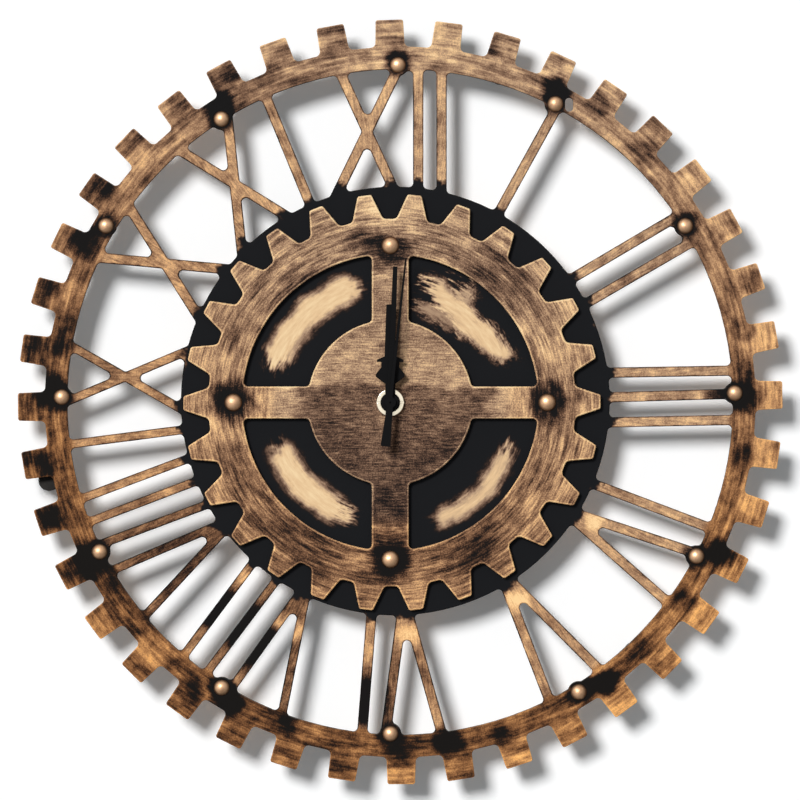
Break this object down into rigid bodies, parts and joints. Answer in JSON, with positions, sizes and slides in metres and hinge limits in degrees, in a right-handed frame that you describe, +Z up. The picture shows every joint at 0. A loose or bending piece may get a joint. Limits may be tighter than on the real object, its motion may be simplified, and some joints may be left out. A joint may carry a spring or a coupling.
{
  "type": "wooden gear clock",
  "caption": "Wall clock cut as a toothed ring with open Roman numerals and a smaller gear on its disc, with hour, minute and second hands and a quartz movement behind.",
  "frame": {"origin": "on the hands' axis, at the wall that the movement's back touches", "axes": "+X right as the face is seen, +Y from the face into the wall, +Z up"},
  "size_m": [0.3998, 0.0369, 0.3999],
  "materials": {
    "bronzed_ring": "black paint with dry-brushed bronze and rubbed edges",
    "bronzed_gear": "black paint with dry-brushed bronze and rubbed edges",
    "studs": "antique copper, polished",
    "pads": "soft, matt",
    "bushing_brass": "turned",
    "gasket": "matt",
    "washer": "satin",
    "nut": "polished, pale",
    "case_plastic": "fine texture",
    "cover_plastic": "fine texture",
    "plate_plastic": "moulded",
    "hanger_steel": "zinc plated",
    "white_wheels": "moulded",
    "minute_pipe_plastic": "moulded",
    "tinted_wheels": "moulded",
    "arbor_steel": "drawn",
    "magnet": "ground",
    "knob_plastic": "moulded",
    "motor_iron": "stamped",
    "bobbin": "moulded",
    "winding": "lacquered wire",
    "board": "laminate",
    "crystal_can": "plated",
    "resin": "resin",
    "battery_sleeve": "printed sleeve, plain",
    "contact_steel": "nickel plated",
    "hands_black": "satin black"
  },
  "bodies": {
    "clock": {"dial_plate": "bronzed_ring", "front_gear": "bronzed_gear", "ring_studs": "studs", "gear_studs": "studs", "wall_pads": "pads", "threaded_bushing": "bushing_brass", "rubber_gasket": "gasket", "brass_washer": "washer", "fixing_nut": "nut", "movement_case": "case_plastic", "movement_cover": "cover_plastic", "middle_plate": "plate_plastic", "hanger": "hanger_steel", "stator": "motor_iron", "coil_core": "motor_iron", "coil_bobbin": "bobbin", "coil_winding": "winding", "circuit_board": "board", "quartz_crystal": "crystal_can", "control_chip": "resin", "battery": "battery_sleeve", "positive_contact": "contact_steel", "negative_contact": "contact_steel"},
    "hours": {"hour_wheel": "white_wheels", "hour_hand": "hands_black"},
    "minutes": {"centre_wheel": "white_wheels", "minute_pipe": "minute_pipe_plastic", "minute_hand": "hands_black"},
    "seconds": {"seconds_wheel": "white_wheels", "seconds_arbor": "arbor_steel", "second_hand": "hands_black"},
    "third": {"third_wheel": "tinted_wheels"},
    "intermediate": {"intermediate_wheel": "tinted_wheels"},
    "rotor": {"rotor_magnet": "magnet", "rotor_pinion": "white_wheels"},
    "minute_arbor": {"minute_wheel": "white_wheels", "setting_knob": "knob_plastic"}
  },
  "joints": [
    {"name": "hour_turn", "type": "hinge", "parent": "clock", "child": "hours", "pos_m": [0, -0.032, 0], "axis": [0, 1, 0], "continuous": true},
    {"name": "minute_turn", "type": "hinge", "parent": "clock", "child": "minutes", "pos_m": [0, -0.0342, 0], "axis": [0, 1, 0], "continuous": true},
    {"name": "second_turn", "type": "hinge", "parent": "clock", "child": "seconds", "pos_m": [0, -0.0367, 0], "axis": [0, 1, 0], "continuous": true},
    {"name": "third_turn", "type": "hinge", "parent": "clock", "child": "third", "pos_m": [-0.00779, -0.007, 0.0045], "axis": [0, 1, 0], "continuous": true},
    {"name": "intermediate_turn", "type": "hinge", "parent": "clock", "child": "intermediate", "pos_m": [0.00248, -0.007, 0.00927], "axis": [0, 1, 0], "continuous": true},
    {"name": "rotor_turn", "type": "hinge", "parent": "clock", "child": "rotor", "pos_m": [0.00598, -0.0055, 0.01534], "axis": [0, 1, 0], "continuous": true},
    {"name": "minute_arbor_turn", "type": "hinge", "parent": "clock", "child": "minute_arbor", "pos_m": [0.00902, -0.0013, 0.00328], "axis": [0, 1, 0], "continuous": true}
  ],
  "couplings": [
    {"joint": "hour_turn", "follows": "minute_turn", "ratio": 0.083333},
    {"joint": "second_turn", "follows": "minute_turn", "ratio": 60},
    {"joint": "third_turn", "follows": "minute_turn", "ratio": -7.5},
    {"joint": "intermediate_turn", "follows": "minute_turn", "ratio": -300},
    {"joint": "rotor_turn", "follows": "minute_turn", "ratio": 1800},
    {"joint": "minute_arbor_turn", "follows": "minute_turn", "ratio": -0.33333}
  ]
}
